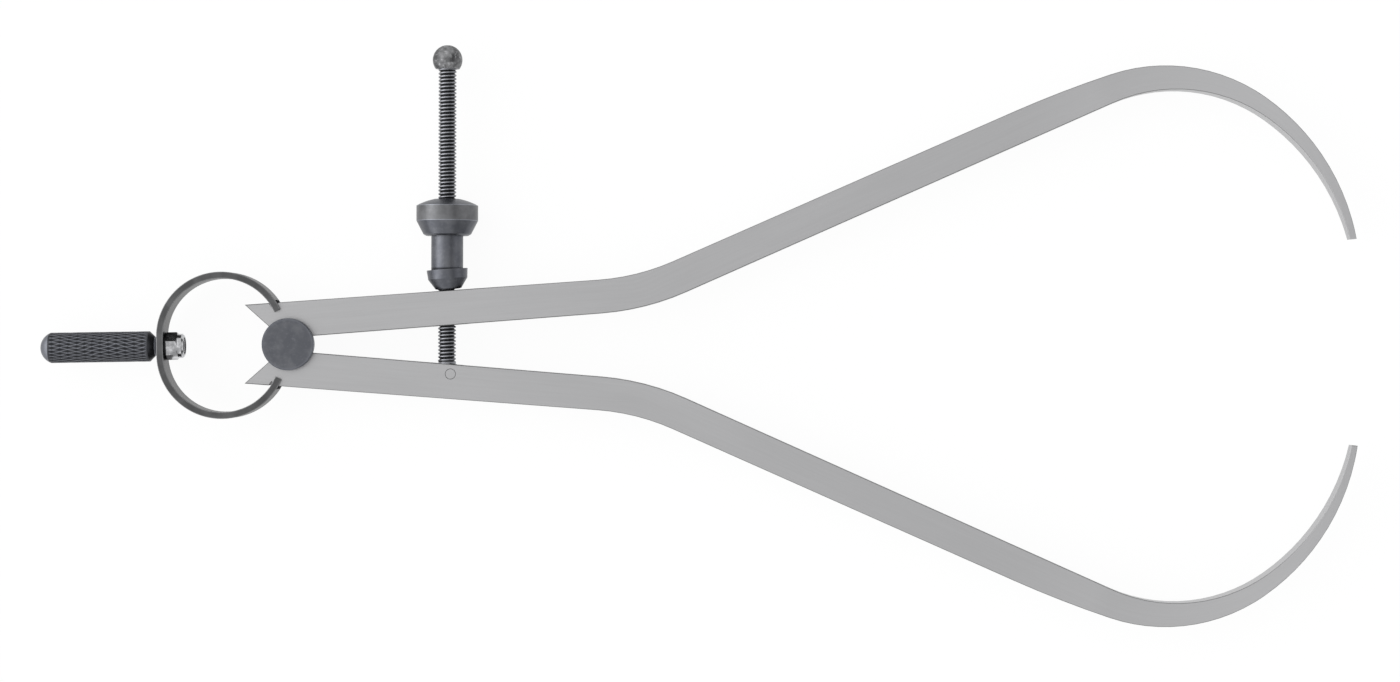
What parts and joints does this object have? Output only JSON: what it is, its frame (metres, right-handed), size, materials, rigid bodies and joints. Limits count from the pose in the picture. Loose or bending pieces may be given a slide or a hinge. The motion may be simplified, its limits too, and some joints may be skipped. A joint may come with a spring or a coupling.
{
  "type": "outside spring caliper",
  "caption": "Outside spring caliper: two bowed legs on a round spring, opened and closed by a nut on a cross screw, with a finger stud behind.",
  "frame": {"origin": "centre of the fulcrum roller, in the middle of the legs' thickness", "axes": "+X from the fulcrum towards the legs' tips, +Y along the adjusting screw towards its ball, +Z out of the legs' upper faces"},
  "size_m": [0.2973, 0.1308, 0.0138],
  "materials": {
    "ground_steel": "satin ground steel, brushed along the legs",
    "roller_steel": "turned, slate grey satin",
    "spring_steel": "dark satin spring steel",
    "stud_steel": "knurled, dark satin",
    "black_steel": "blackened",
    "zinc_plate": "zinc plated",
    "insert_plastic": "plain",
    "screw_steel": "blackened thread with bright flanks",
    "ball_steel": "worn dark steel",
    "nut_steel": "turned, dark blued satin"
  },
  "bodies": {
    "lower_leg": {"lower_leg": "ground_steel", "screw_pivot_pin": "ground_steel"},
    "upper_leg": {"upper_leg": "ground_steel"},
    "bow": {"fulcrum_roller": "roller_steel", "bow_spring": "spring_steel", "finger_stud": "stud_steel", "stud_washer": "black_steel", "stud_lock_nut": "zinc_plate", "lock_nut_insert": "insert_plastic"},
    "screw": {"adjusting_screw": "screw_steel", "screw_end_ball": "ball_steel"},
    "cup": {"nut_cup_washer": "nut_steel"},
    "nut": {"adjusting_nut": "nut_steel"}
  },
  "joints": [
    {"name": "leg_opening", "type": "hinge", "parent": "lower_leg", "child": "upper_leg", "pos_m": [0, 0, 0], "axis": [0, 0, 1], "range_deg": [-11, 45], "deforming": ["bow_spring"]},
    {"name": "bow_follow", "type": "hinge", "parent": "lower_leg", "child": "bow", "pos_m": [0, 0, 0], "axis": [0, 0, 1], "range_deg": [-5.6, 22.6]},
    {"name": "screw_swivel", "type": "hinge", "parent": "lower_leg", "child": "screw", "pos_m": [0.0364, -0.0066, 0], "axis": [0, 0, 1], "range_deg": [-5.6, 22.6]},
    {"name": "nut_travel", "type": "slide", "parent": "screw", "child": "cup", "axis": [0, 1, 0], "range_m": [-0.0072, 0.029]},
    {"name": "nut_spin", "type": "hinge", "parent": "cup", "child": "nut", "pos_m": [0.0354, 0, 0], "axis": [0, 1, 0], "range_deg": [-3200, 13000]}
  ],
  "couplings": [
    {"joint": "bow_follow", "follows": "leg_opening", "ratio": 0.5},
    {"joint": "screw_swivel", "follows": "leg_opening", "ratio": 0.5},
    {"joint": "nut_travel", "follows": "leg_opening", "m_per_rad": 0.0363},
    {"joint": "nut_spin", "follows": "leg_opening", "ratio": 285.1}
  ]
}
